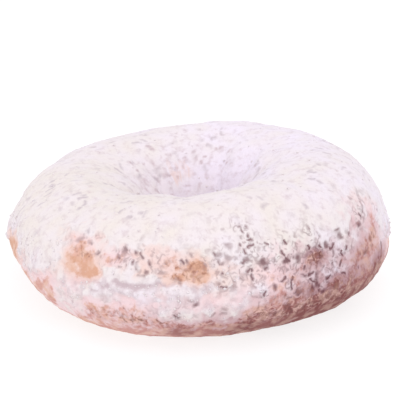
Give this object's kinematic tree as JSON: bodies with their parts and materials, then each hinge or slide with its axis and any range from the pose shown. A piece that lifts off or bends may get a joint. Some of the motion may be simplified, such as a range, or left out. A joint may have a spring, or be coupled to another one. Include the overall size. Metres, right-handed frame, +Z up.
{
  "type": "powdered sugar doughnut",
  "caption": "Uneven ring of fried cake dough with a narrow hole, coated in powdered sugar that is worn off in patches, resting on its flattened underside.",
  "frame": {"origin": "on the surface that the doughnut rests on, under the middle of its outline", "axes": "+Z up through the hole, -Y towards the front that the picture shows, +X to the right in that view, where the ring is thickest"},
  "size_m": [0.086, 0.0862, 0.0309],
  "materials": {
    "sugared_crust": "dry matte powdered sugar over a fried cake crust, which shows tan in worn patches and on the underside"
  },
  "bodies": {
    "root": {"doughnut": "sugared_crust"}
  },
  "joints": []
}
